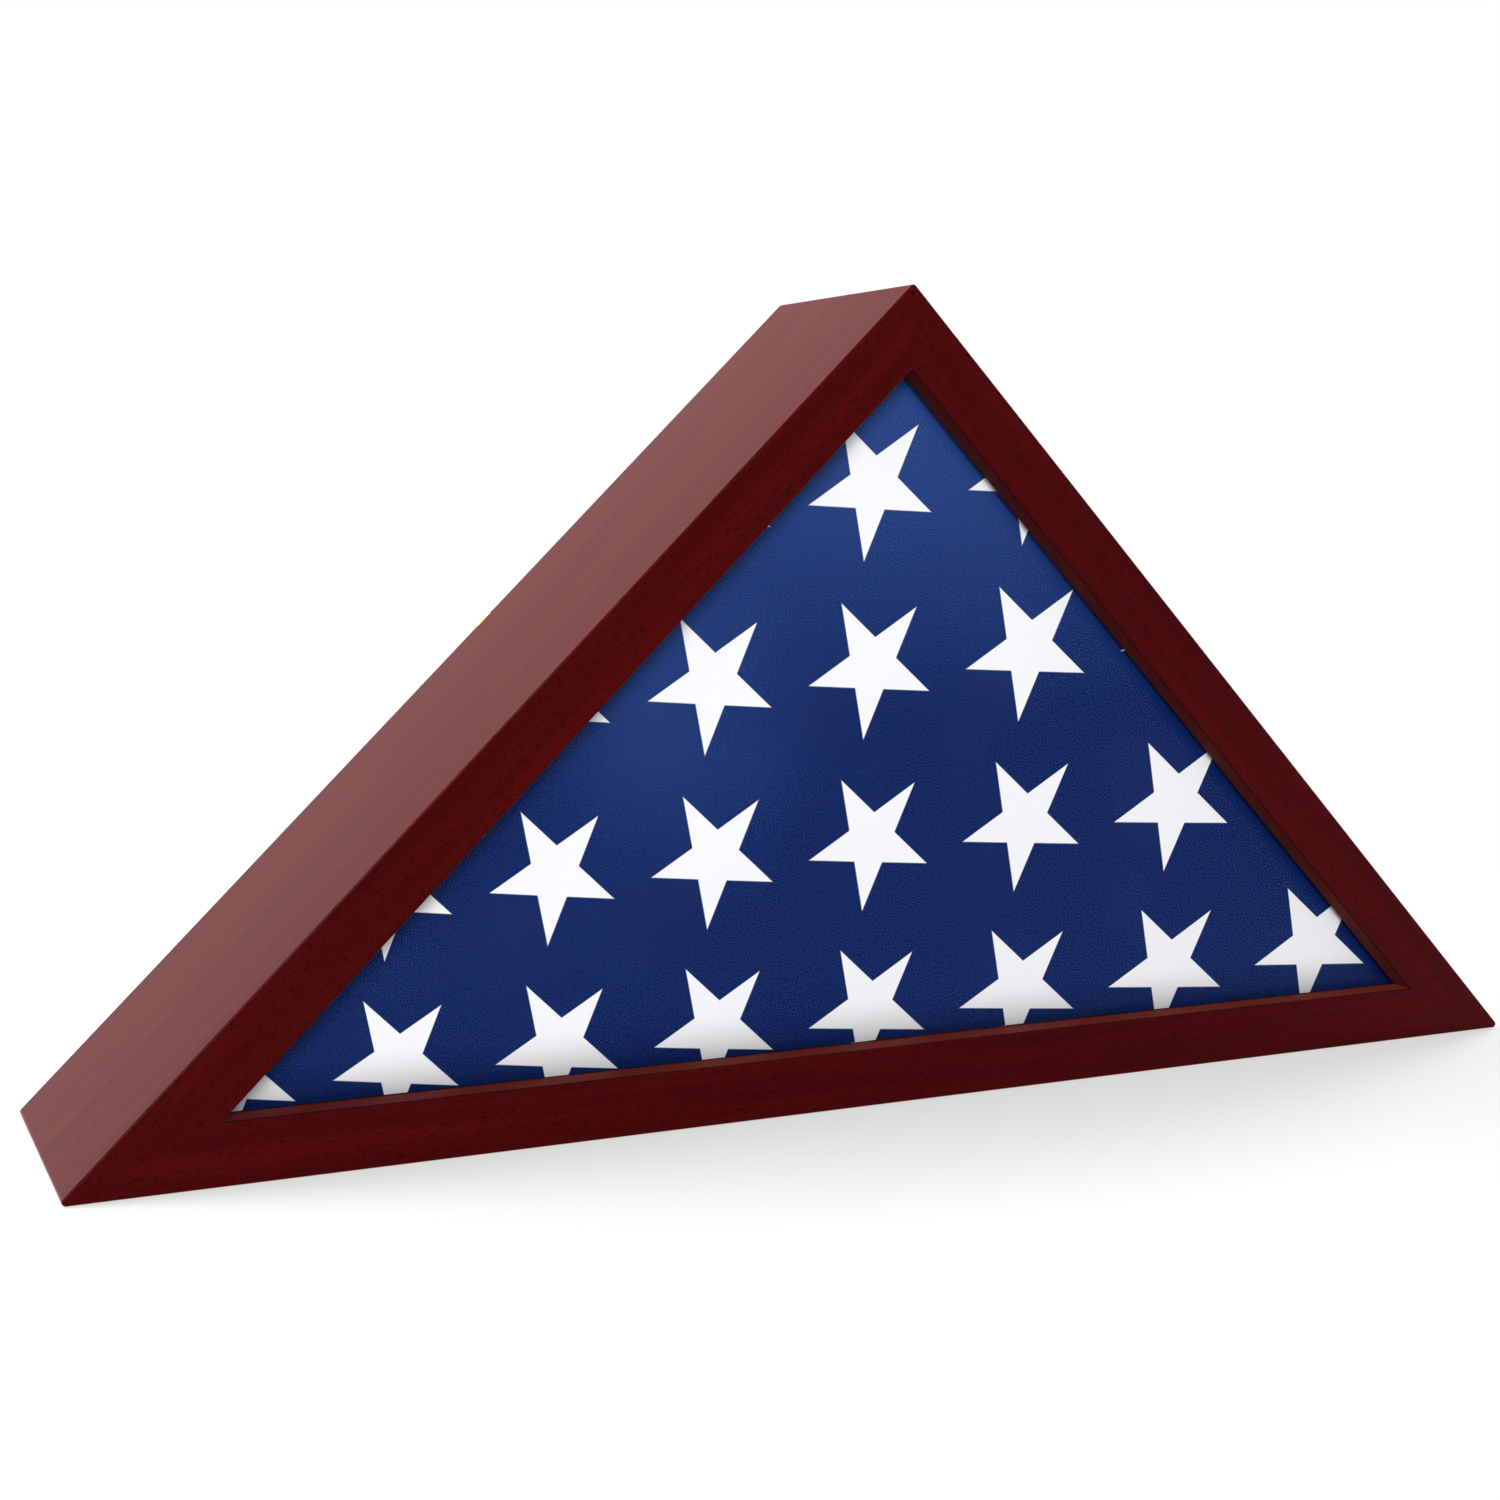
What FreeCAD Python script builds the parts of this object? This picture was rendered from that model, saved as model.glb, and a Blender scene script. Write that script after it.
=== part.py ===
import FreeCAD, Part
import Sketcher
import math
import os

doc = FreeCAD.newDocument("flag_case")

# Lengths in millimetres. X runs along the base, Y from front to back, Z up.
# The low buttons are placed from the feet of the slopes, the base buttons from the base corners,
# the high buttons and the hangers from the peak.
SIZES = {
    "case_width": 640,
    "case_depth": 114,
    "lip_width": 23,
    "lip_thickness": 10,
    "wall_thickness": 15,
    "corner_round": 1.5,
    "edge_ease": 0.8,
    "glass_thickness": 2.5,
    "glass_clearance": 0.5,
    "liner_thickness": 5,
    "panel_thickness": 4,
    "panel_clearance": 0.5,
    "panel_recess": 0.2,
    "flag_clearance": 0.5,
    "flag_round": 4,
    "nail_leg": 6,
    "nail_gauge": 0.8,
    "nail_depth": 12,
    "nail_inset_outer": 5,
    "nail_inset_inner": 10,
    "nail_inset_apex": 8,
    "button_width": 9,
    "button_reach": 19,
    "button_gauge": 1.5,
    "button_play": 0.15,
    "button_low": 110,
    "button_high": 82.5,
    "button_base": 160,
    "pivot_clearance": 0.05,
    "screw_radius": 1.55,
    "screw_fit": 0.02,
    "screw_length": 16,
    "screw_head_radius": 3.2,
    "screw_head_height": 2,
    "screw_cross_width": 0.8,
    "hanger_place": 182.5,
    "strap_width": 8,
    "strap_length": 8,
    "strap_gauge": 1,
    "ring_wire": 1,
    "ring_clearance": 0.1,
    "ring_width": 12,
    "ring_leg": 8,
    "ring_bend": 1.5,
    "ring_lift": 0.3,
}

sheet = doc.addObject("Spreadsheet::Sheet", "Sizes")
for row, (alias, value) in enumerate(SIZES.items(), start=1):
    sheet.set(f"A{row}", alias.replace("_", " "))
    sheet.set(f"B{row}", str(value))
    sheet.setAlias(f"B{row}", alias)
doc.recompute()


def size(alias):
    """Expression for one named size."""
    return f"Sizes.{alias}"


def value_of(expression):
    """Present value of an expression, in millimetres."""
    return float(FreeCAD.Units.Quantity(sheet.evalExpression(expression)).Value)


HALF_WIDTH = f"{size('case_width')} / 2"
FRONT = f"-{size('case_depth')} / 2"
REAR = f"{size('case_depth')} / 2"
LIP_BACK = f"({FRONT} + {size('lip_thickness')})"
GLASS_BACK = f"({LIP_BACK} + {size('glass_thickness')})"
PANEL_BACK = f"({REAR} - {size('panel_recess')})"
PANEL_FRONT = f"({PANEL_BACK} - {size('panel_thickness')})"
LINER_INSET = f"({size('wall_thickness')} + {size('liner_thickness')})"
LAND_MIDDLE = f"({size('wall_thickness')} / 2)"
CORNER = 22.5


def foot(inset, side):
    """Lower corner of the triangle that lies `inset` inside the outline; side is -1 or 1."""
    return f"{side} * ({HALF_WIDTH} - ({inset}) * (1 + sqrt(2)))", f"({inset})"


def peak(inset):
    """Upper corner of the triangle that lies `inset` inside the outline."""
    return "0", f"({HALF_WIDTH} - ({inset}) * sqrt(2))"


def beyond(point, length, degrees):
    """Point at a distance and direction from another, in the front view."""
    along = f"({point[0]}) + ({length}) * cos({degrees} deg)"
    up = f"({point[1]}) + ({length}) * sin({degrees} deg)"
    return along, up


def on_slope(distance, inset, side):
    """Point at a distance up a sloping rail and an inset from its outer face."""
    along = f"{side} * ({HALF_WIDTH} - (({distance}) + ({inset})) / sqrt(2))"
    return along, f"(({distance}) - ({inset})) / sqrt(2)"


def plane(body, role):
    """One of the origin planes of a body."""
    return next(item for item in body.Origin.OriginFeatures if item.Role == role)


def new_body(name):
    """Empty body with the node's name."""
    return doc.addObject("PartDesign::Body", name)


def new_sketch(body, name, role, offset):
    """Sketch on an origin plane of its body, moved along that plane's normal."""
    sketch = body.newObject("Sketcher::SketchObject", f"{body.Name}_{name}")
    sketch.AttachmentSupport = (plane(body, role), [""])
    sketch.MapMode = "FlatFace"
    sketch.setExpression("AttachmentOffset.Base.z", offset)
    return sketch


def drive(sketch, kind, geometry, place, expression):
    """Tie one coordinate of a sketch point to an expression."""
    value = value_of(expression)
    axis = -2 if kind == "DistanceX" else -1
    if abs(value) < 1e-9:
        sketch.addConstraint(Sketcher.Constraint("PointOnObject", geometry, place, axis))
        return
    if value > 0:
        ends = (-1, 1, geometry, place)
    else:
        ends = (geometry, place, -1, 1)
        expression = f"-({expression})"
    index = sketch.addConstraint(Sketcher.Constraint(kind, *ends, abs(value)))
    sketch.setExpression(f"Constraints[{index}]", expression)


def draw_outline(sketch, points, arcs=None):
    """Closed outline through points; arcs maps a segment number to its centre and radius."""
    arcs = arcs or {}
    spots = [FreeCAD.Vector(value_of(x), value_of(z), 0) for x, z in points]
    ends = []
    for number, start in enumerate(spots):
        stop = spots[(number + 1) % len(spots)]
        if number not in arcs:
            ends.append((sketch.addGeometry(Part.LineSegment(start, stop)), 1, 2))
            continue
        centre, radius = arcs[number]
        middle = FreeCAD.Vector(value_of(centre[0]), value_of(centre[1]), 0)
        turn = (start - middle).cross(stop - middle).z
        first, last = (start, stop) if turn > 0 else (stop, start)
        angles = [math.atan2(spot.y - middle.y, spot.x - middle.x) for spot in (first, last)]
        circle = Part.Circle(middle, FreeCAD.Vector(0, 0, 1), value_of(radius))
        geometry = sketch.addGeometry(Part.ArcOfCircle(circle, *angles))
        index = sketch.addConstraint(Sketcher.Constraint("Radius", geometry, value_of(radius)))
        sketch.setExpression(f"Constraints[{index}]", radius)
        ends.append((geometry, 1, 2) if turn > 0 else (geometry, 2, 1))
    for number, (geometry, begin, finish) in enumerate(ends):
        following, arrival, _ = ends[(number + 1) % len(ends)]
        sketch.addConstraint(
            Sketcher.Constraint("Coincident", geometry, finish, following, arrival))
        drive(sketch, "DistanceX", geometry, begin, points[number][0])
        drive(sketch, "DistanceY", geometry, begin, points[number][1])


def draw_circle(sketch, centre, radius):
    """Circle in a sketch."""
    middle = FreeCAD.Vector(value_of(centre[0]), value_of(centre[1]), 0)
    circle = Part.Circle(middle, FreeCAD.Vector(0, 0, 1), value_of(radius))
    geometry = sketch.addGeometry(circle)
    index = sketch.addConstraint(Sketcher.Constraint("Radius", geometry, value_of(radius)))
    sketch.setExpression(f"Constraints[{index}]", radius)
    drive(sketch, "DistanceX", geometry, 3, centre[0])
    drive(sketch, "DistanceY", geometry, 3, centre[1])


def extrude(body, name, front, length, points, arcs=None):
    """Pad of a front-view outline, from a front plane to the rear."""
    sketch = new_sketch(body, f"{name}_outline", "XZ_Plane", f"-({front})")
    draw_outline(sketch, points, arcs)
    pad = body.newObject("PartDesign::Pad", f"{body.Name}_{name}")
    pad.Profile = sketch
    pad.setExpression("Length", length)
    pad.Reversed = True
    doc.recompute()
    return pad


def sink(body, name, depth, draw):
    """Pocket from the rear face of the case, forwards into a body."""
    sketch = new_sketch(body, f"{name}_outline", "XZ_Plane", f"-({REAR})")
    draw(sketch)
    pocket = body.newObject("PartDesign::Pocket", f"{body.Name}_{name}")
    pocket.Profile = sketch
    pocket.setExpression("Length", depth)
    pocket.Reversed = True
    before = pocket.BaseFeature.Shape.Volume
    doc.recompute()
    if pocket.Shape.Volume >= before:
        raise RuntimeError(f"{pocket.Name} removes nothing")
    return pocket


def inset_at(point):
    """Distance of a point from the nearest outer face of the case."""
    half = value_of(HALF_WIDTH)
    left = (half + point.x - point.z) / math.sqrt(2)
    right = (half - point.x - point.z) / math.sqrt(2)
    return min(left, right, point.z)


def ease(body, feature, radius, wanted):
    """Round the edges of a feature that a test picks out."""
    names = [f"Edge{number}" for number, edge in enumerate(feature.Shape.Edges, start=1)
             if wanted(edge.valueAt((edge.FirstParameter + edge.LastParameter) / 2))]
    fillet = body.newObject("PartDesign::Fillet", f"{body.Name}_ease")
    fillet.Base = (feature, names)
    fillet.setExpression("Radius", radius)
    doc.recompute()
    return fillet


def rail_edge(point):
    """Whether a point lies on a long edge of a rail that is eased."""
    front, rear = value_of(FRONT), value_of(REAR)
    inset = inset_at(point)
    outer = inset < value_of(size("corner_round")) / 2
    at_face = min(abs(point.y - front), abs(point.y - rear)) < 1e-6
    lip = abs(inset - value_of(size("lip_width"))) < 1e-6 and abs(point.y - front) < 1e-6
    return lip or (outer and at_face)


def slope_points(side, inner):
    """Outline of a sloping rail, with rounded outer corners, and its arcs."""
    radius = size("corner_round")
    low, high = foot(radius, side), peak(radius)
    away = 90 - 45 * side
    points = [
        beyond(low, radius, -90 + (90 - CORNER) * side),
        beyond(low, radius, away),
        beyond(high, radius, away),
        beyond(high, radius, 90),
        peak(inner),
        foot(inner, side),
    ]
    return points, {0: (low, radius), 2: (high, radius)}


def base_points(inner):
    """Outline of the base rail, with rounded outer corners, and its arcs."""
    radius = size("corner_round")
    left, right = foot(radius, -1), foot(radius, 1)
    points = [
        beyond(left, radius, 180 + CORNER),
        beyond(left, radius, 270),
        beyond(right, radius, 270),
        beyond(right, radius, -CORNER),
        foot(inner, 1),
        foot(inner, -1),
    ]
    return points, {0: (left, radius), 2: (right, radius)}


def strip_points(side, outer, inner):
    """Mitred strip between two insets along a slope (side -1 or 1) or the base (side 0)."""
    if side == 0:
        return [foot(outer, -1), foot(outer, 1), foot(inner, 1), foot(inner, -1)]
    return [foot(outer, side), peak(outer), peak(inner), foot(inner, side)]


def nail_points(corner, inward):
    """V outline at a mitre: its point at the corner, its legs 45 degrees either side of inward."""
    leg, gauge = size("nail_leg"), size("nail_gauge")
    one, two = inward + 45, inward - 45
    inner = beyond(beyond(corner, gauge, one), gauge, two)
    return [
        corner,
        beyond(corner, leg, two),
        beyond(beyond(corner, leg, two), gauge, one),
        inner,
        beyond(beyond(corner, leg, one), gauge, two),
        beyond(corner, leg, one),
    ]


NAILS = {
    -1: [nail_points(foot(size(inset), -1), CORNER)
         for inset in ("nail_inset_outer", "nail_inset_inner")],
    1: [nail_points(foot(size(inset), 1), 180 - CORNER)
        for inset in ("nail_inset_outer", "nail_inset_inner")],
    0: [nail_points(peak(size("nail_inset_apex")), -90)],
}

SLOPE = f"{size('case_width')} / sqrt(2)"
BUTTON_LOW = size("button_low")
BUTTON_HIGH = f"{SLOPE} - {size('button_high')}"
BUTTON_BASE = f"({HALF_WIDTH} - {size('button_base')})"
BUTTONS = {
    "left_low": (on_slope(BUTTON_LOW, LAND_MIDDLE, -1), 45),
    "left_high": (on_slope(BUTTON_HIGH, LAND_MIDDLE, -1), 45),
    "right_low": (on_slope(BUTTON_LOW, LAND_MIDDLE, 1), 135),
    "right_high": (on_slope(BUTTON_HIGH, LAND_MIDDLE, 1), 135),
    "base_left": ((f"-{BUTTON_BASE}", LAND_MIDDLE), 180),
    "base_right": ((BUTTON_BASE, LAND_MIDDLE), 0),
}

HANGER_PLACE = f"{SLOPE} - {size('hanger_place')}"
HANGERS = {
    "left": (on_slope(HANGER_PLACE, LAND_MIDDLE, -1), 225),
    "right": (on_slope(HANGER_PLACE, LAND_MIDDLE, 1), -45),
}
HANGER_SCREWS = {name: beyond(place, size("strap_length"), heading)
                 for name, (place, heading) in HANGERS.items()}


def make_rail(name, side, screws):
    """Rail with wall and lip, its screw holes and the slots of its nails."""
    body = new_body(name)
    wall, lip = size("wall_thickness"), size("lip_width")
    outline = base_points(wall) if side == 0 else slope_points(side, wall)
    extrude(body, "wall", FRONT, size("case_depth"), *outline)
    pad = extrude(body, "lip", FRONT, size("lip_thickness"), strip_points(side, wall, lip))
    ease(body, pad, size("edge_ease"), rail_edge)
    radius = f"{size('screw_radius')} + {size('screw_fit')}"

    def holes(sketch):
        for place in screws:
            draw_circle(sketch, place, radius)

    def slots(sketch):
        for corner in ((-1, 1) if side == 0 else (side, 0)):
            for points in NAILS[corner]:
                draw_outline(sketch, points)

    sink(body, "holes", f"{size('screw_length')} + {size('screw_fit')}", holes)
    sink(body, "slots", size("nail_depth"), slots)
    return body


def make_plate(name, front, back, points, arcs=None):
    """Body of one flat piece between two planes."""
    body = new_body(name)
    extrude(body, "plate", front, f"({back}) - ({front})", points, arcs)
    return body


def triangle(inset):
    """Outline of the triangle that lies `inset` inside the case."""
    return [foot(inset, -1), foot(inset, 1), peak(inset)]


def make_flag():
    """Folded flag: a rounded triangular block between glass and back panel."""
    body = new_body("folded_flag")
    gap, radius = size("flag_clearance"), size("flag_round")
    inset = f"({LINER_INSET} + {gap})"
    left, right, top = triangle(f"{inset} + {radius}")
    points = [
        beyond(left, radius, 135), beyond(left, radius, 270),
        beyond(right, radius, 270), beyond(right, radius, 45),
        beyond(top, radius, 45), beyond(top, radius, 135),
    ]
    arcs = {0: (left, radius), 2: (right, radius), 4: (top, radius)}
    front = f"({GLASS_BACK} + {gap})"
    pad = extrude(body, "block", front, f"{PANEL_FRONT} - {gap} - {front}", points, arcs)
    faces = (value_of(front), value_of(f"{PANEL_FRONT} - {gap}"))
    ease(body, pad, f"{radius} / 2",
         lambda point: min(abs(point.y - face) for face in faces) < 1e-6)
    return body


def place_body(body, place, depth, heading):
    """Set a body at a point of the front view, turned to a heading in degrees."""
    body.Placement = FreeCAD.Placement(
        FreeCAD.Vector(), FreeCAD.Rotation(FreeCAD.Vector(0, 1, 0), -heading))
    body.setExpression("Placement.Base.x", place[0])
    body.setExpression("Placement.Base.y", depth)
    body.setExpression("Placement.Base.z", place[1])
    doc.recompute()
    return body


def make_button(name, place, heading):
    """Turn button with rounded ends, its pivot hole at its heel."""
    body = new_body(f"turn_button_{name}")
    half, reach = f"{size('button_width')} / 2", size("button_reach")
    points = [("0", f"-{half}"), (reach, f"-{half}"), (f"{reach} + {half}", "0"),
              (reach, half), ("0", half), (f"-{half}", "0")]
    tip, heel = (reach, "0"), ("0", "0")
    arcs = {1: (tip, half), 2: (tip, half), 4: (heel, half), 5: (heel, half)}
    sketch = new_sketch(body, "outline", "XZ_Plane", "0")
    draw_outline(sketch, points, arcs)
    draw_circle(sketch, heel, f"{size('screw_radius')} + {size('pivot_clearance')}")
    pad = body.newObject("PartDesign::Pad", f"{body.Name}_plate")
    pad.Profile = sketch
    pad.setExpression("Length", size("button_gauge"))
    pad.Reversed = True
    doc.recompute()
    gauge = value_of(size("button_gauge"))
    hole = value_of(size("button_width")) / 2 - 0.1
    ease(body, pad, f"{size('button_gauge')} / 4",
         lambda point: abs(point.y - gauge) < 1e-6 and math.hypot(point.x, point.z) > hole)
    return place_body(body, place, f"{REAR} + {size('button_play')}", heading)


def make_screw(name, place, stand):
    """Pan-head screw whose head stands a distance off the rear face of the rail."""
    body = new_body(name)
    shank, head = size("screw_radius"), size("screw_head_radius")
    height, length = size("screw_head_height"), size("screw_length")
    sketch = new_sketch(body, "profile", "XY_Plane", "0")
    points = [
        ("0", f"-({length})"),
        (shank, f"-({length}) + 2 * {shank}"),
        (shank, stand),
        (head, stand),
        (head, f"({stand}) + 0.4 * {height}"),
        (f"0.6 * {head}", f"({stand}) + {height}"),
        ("0", f"({stand}) + {height}"),
    ]
    draw_outline(sketch, points)
    revolution = body.newObject("PartDesign::Revolution", f"{name}_turned")
    revolution.Profile = sketch
    revolution.ReferenceAxis = (sketch, ["V_Axis"])
    revolution.Angle = 360
    doc.recompute()
    arm, half = f"0.55 * {head}", f"{size('screw_cross_width')} / 2"
    cross = new_sketch(body, "cross", "XZ_Plane", f"-(({stand}) + {height})")
    quarter = [(half, arm), (half, half), (arm, half)]
    spots = []
    for flip_x, flip_z in ((1, 1), (1, -1), (-1, -1), (-1, 1)):
        turned = [(f"{flip_x} * {x}", f"{flip_z} * {z}") for x, z in quarter]
        spots += turned if flip_x == flip_z else turned[::-1]
    draw_outline(cross, spots)
    pocket = body.newObject("PartDesign::Pocket", f"{name}_recess")
    pocket.Profile = cross
    pocket.setExpression("Length", f"{height} / 2")
    pocket.Reversed = True
    doc.recompute()
    return place_body(body, place, REAR, 0)


def make_strap(name, place, heading):
    """Hanger strap: a flat tongue with a screw hole and a knuckle round the ring's bar."""
    body = new_body(f"hanger_strap_{name}")
    half, length, gauge = f"{size('strap_width')} / 2", size("strap_length"), size("strap_gauge")
    hole = f"{size('ring_wire')} + {size('ring_clearance')}"
    points = [("0", f"-{half}"), (length, f"-{half}"), (f"{length} + {half}", "0"),
              (length, half), ("0", half)]
    tip = (length, "0")
    sketch = new_sketch(body, "outline", "XZ_Plane", "0")
    draw_outline(sketch, points, {1: (tip, half), 2: (tip, half)})
    draw_circle(sketch, tip, f"{size('screw_radius')} + {size('screw_fit')}")
    pad = body.newObject("PartDesign::Pad", f"{body.Name}_tongue")
    pad.Profile = sketch
    pad.setExpression("Length", gauge)
    pad.Reversed = True
    doc.recompute()
    knuckle = new_sketch(body, "knuckle", "XY_Plane", "0")
    axis = ("0", RING_AXIS)
    draw_circle(knuckle, axis, f"{hole} + {gauge}")
    barrel = body.newObject("PartDesign::Pad", f"{body.Name}_barrel")
    barrel.Profile = knuckle
    barrel.setExpression("Length", size("strap_width"))
    barrel.SideType = "Symmetric"
    doc.recompute()
    bore = new_sketch(body, "bore", "XY_Plane", "0")
    draw_circle(bore, axis, hole)
    pocket = body.newObject("PartDesign::Pocket", f"{body.Name}_bore")
    pocket.Profile = bore
    pocket.setExpression("Length", f"2 * {size('strap_width')}")
    pocket.SideType = "Symmetric"
    doc.recompute()
    return place_body(body, place, REAR, heading)


RING_AXIS = f"({size('strap_gauge')} + {size('ring_lift')} + {size('ring_wire')})"


def make_ring(name, place, heading):
    """D-shaped wire ring: a straight bar, two legs and a half circle."""
    body = new_body(f"hanger_ring_{name}")
    half, leg, bend = f"{size('ring_width')} / 2", size("ring_leg"), size("ring_bend")
    path = new_sketch(body, "path", "XZ_Plane", f"-({RING_AXIS})")
    points = [
        ("0", f"-({half} - {bend})"), (bend, f"-{half}"), (leg, f"-{half}"),
        (f"{leg} + {half}", "0"), (leg, half), (bend, half), ("0", f"{half} - {bend}"),
    ]
    arcs = {
        0: ((bend, f"-({half} - {bend})"), bend),
        2: ((leg, "0"), half),
        3: ((leg, "0"), half),
        5: ((bend, f"{half} - {bend}"), bend),
    }
    draw_outline(path, points, arcs)
    wire = new_sketch(body, "wire", "XY_Plane", "0")
    draw_circle(wire, ("0", RING_AXIS), size("ring_wire"))
    pipe = body.newObject("PartDesign::AdditivePipe", f"{body.Name}_bent")
    pipe.Profile = wire
    pipe.Spine = path
    doc.recompute()
    return place_body(body, place, REAR, heading)


def compound(name, members):
    """One node made of several like pieces."""
    group = doc.addObject("Part::Compound", name)
    group.Links = members
    doc.recompute()
    return group


def screws_of(side):
    """Screw places of one rail: slopes -1 and 1, base 0."""
    word = {-1: "left", 0: "base", 1: "right"}[side]
    places = [place for name, (place, _) in BUTTONS.items() if name.startswith(word)]
    return places + [place for name, place in HANGER_SCREWS.items() if name == word]


nodes = []
for word, side in (("left", -1), ("right", 1), ("base", 0)):
    nodes.append(make_rail(f"{word}_rail", side, screws_of(side)))
    strip = strip_points(side, size("wall_thickness"), LINER_INSET)
    nodes.append(make_plate(f"{word}_liner", GLASS_BACK, PANEL_FRONT, strip))

glass_inset = f"{size('wall_thickness')} + {size('glass_clearance')}"
nodes.append(make_plate("glass_pane", LIP_BACK, GLASS_BACK, triangle(glass_inset)))
panel_inset = f"{size('wall_thickness')} + {size('panel_clearance')}"
nodes.append(make_plate("back_panel", PANEL_FRONT, PANEL_BACK, triangle(panel_inset)))
nodes.append(make_flag())

nail_front = f"({REAR} - {size('nail_depth')})"
nails = [make_plate(f"v_nail_{number}", nail_front, REAR, points)
         for number, points in enumerate(NAILS[-1] + NAILS[0] + NAILS[1], start=1)]
nodes.append(compound("mitre_v_nails", nails))

button_stand = f"({size('button_gauge')} + 2 * {size('button_play')})"
for name, (place, heading) in BUTTONS.items():
    nodes.append(make_button(name, place, heading))
nodes.append(compound("turn_button_screws", [
    make_screw(f"button_screw_{name}", place, button_stand)
    for name, (place, _) in BUTTONS.items()]))

for name, (place, heading) in HANGERS.items():
    nodes.append(make_strap(name, place, heading))
    nodes.append(make_ring(name, place, heading))
nodes.append(compound("hanger_screws", [
    make_screw(f"hanger_screw_{name}", place, size("strap_gauge"))
    for name, place in HANGER_SCREWS.items()]))

doc.recompute()
for item in doc.Objects:
    if "Invalid" in item.State or "Error" in item.State:
        raise RuntimeError(f"{item.Name}: {item.State}")
os.makedirs("parts", exist_ok=True)
for node in nodes:
    if node.Shape.isNull() or not node.Shape.isValid():
        raise RuntimeError(f"{node.Name}: bad shape")
    node.Shape.exportStep(f"parts/{node.Name}.step")
    print(node.Name, len(node.Shape.Solids), round(node.Shape.Volume, 1))
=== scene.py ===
"""Looks of a folded flag display case: wood, glass, cloth and hardware, in a plain studio."""

import logging
import math
from dataclasses import dataclass, field
from enum import Enum
from typing import Any

import bpy
import numpy as np
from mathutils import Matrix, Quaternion, Vector


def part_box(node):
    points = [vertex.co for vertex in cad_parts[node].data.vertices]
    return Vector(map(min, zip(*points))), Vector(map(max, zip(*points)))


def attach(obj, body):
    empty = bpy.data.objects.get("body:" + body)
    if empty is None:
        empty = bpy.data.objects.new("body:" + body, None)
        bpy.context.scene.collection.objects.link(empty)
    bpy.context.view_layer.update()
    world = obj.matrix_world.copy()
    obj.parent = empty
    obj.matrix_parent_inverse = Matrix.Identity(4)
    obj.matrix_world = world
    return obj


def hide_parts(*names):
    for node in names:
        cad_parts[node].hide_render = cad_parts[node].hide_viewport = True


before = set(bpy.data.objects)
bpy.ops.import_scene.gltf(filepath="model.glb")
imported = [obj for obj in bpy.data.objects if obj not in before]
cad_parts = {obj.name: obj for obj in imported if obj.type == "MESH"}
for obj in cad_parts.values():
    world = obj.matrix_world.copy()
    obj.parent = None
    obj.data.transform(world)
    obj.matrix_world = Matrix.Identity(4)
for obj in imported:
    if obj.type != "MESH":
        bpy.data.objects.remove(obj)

LOG = logging.getLogger("flag_case")
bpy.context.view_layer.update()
MM = 0.001
ROOT2 = math.sqrt(2.0)

# Node types that come up often. Their sockets are given by number where names repeat: a range
# takes its value as 0, the limits it comes from as 1 and 2 and those it goes to as 3 and 4; a
# colour mix takes its share as 0 and its colours as 6 and 7, and gives the result as output 2.
MATH = "ShaderNodeMath"
VECTOR = "ShaderNodeVectorMath"
RANGE = "ShaderNodeMapRange"
MIX = "ShaderNodeMix"
NOISE = "ShaderNodeTexNoise"
PLACE = "ShaderNodeTexCoord"
SURFACE = "ShaderNodeBsdfPrincipled"
OUTPUT = "ShaderNodeOutputMaterial"


def linear(code: str) -> tuple[float, float, float, float]:
    """Turn an sRGB hex colour into linear light.

    Args:
        code: Six hex digits after a hash sign.

    Returns:
        Red, green, blue and an alpha of one.
    """
    parts = [int(code[start : start + 2], 16) / 255 for start in (1, 3, 5)]
    curve = [part / 12.92 if part <= 0.04045 else ((part + 0.055) / 1.055) ** 2.4 for part in parts]
    return curve[0], curve[1], curve[2], 1.0


def add(
    tree: bpy.types.NodeTree,
    kind: str,
    inputs: dict[Any, Any] | None = None,
    **settings: Any,
) -> bpy.types.Node:
    """Add a node with its settings and links.

    Args:
        tree: Node tree that gets the node.
        kind: Blender's name for the node type.
        inputs: Socket name or number to a plain value, or to an output socket to link.
        settings: Attributes of the node itself.

    Returns:
        The new node.
    """
    node = tree.nodes.new(kind)
    for name, value in settings.items():
        setattr(node, name, value)
    for name, value in (inputs or {}).items():
        if isinstance(value, bpy.types.NodeSocket):
            tree.links.new(value, node.inputs[name])
        else:
            node.inputs[name].default_value = value
    return node


def new_tree(owner: bpy.types.Material | bpy.types.World) -> bpy.types.NodeTree:
    """Give a material or a world an empty node tree.

    Args:
        owner: Material or world.

    Returns:
        Its node tree.
    """
    owner.use_nodes = True
    owner.node_tree.nodes.clear()
    return owner.node_tree


class Rail(Enum):
    """The three rails, each with the direction of its grain in degrees from the base.

    The window lies to the left of that direction.
    """

    LEFT = ("left", 225.0)
    RIGHT = ("right", 135.0)
    BASE = ("base", 0.0)

    def __init__(self, word: str, grain: float) -> None:
        """Keep the rail's word and grain direction."""
        self.word = word
        self.grain = grain


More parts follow.
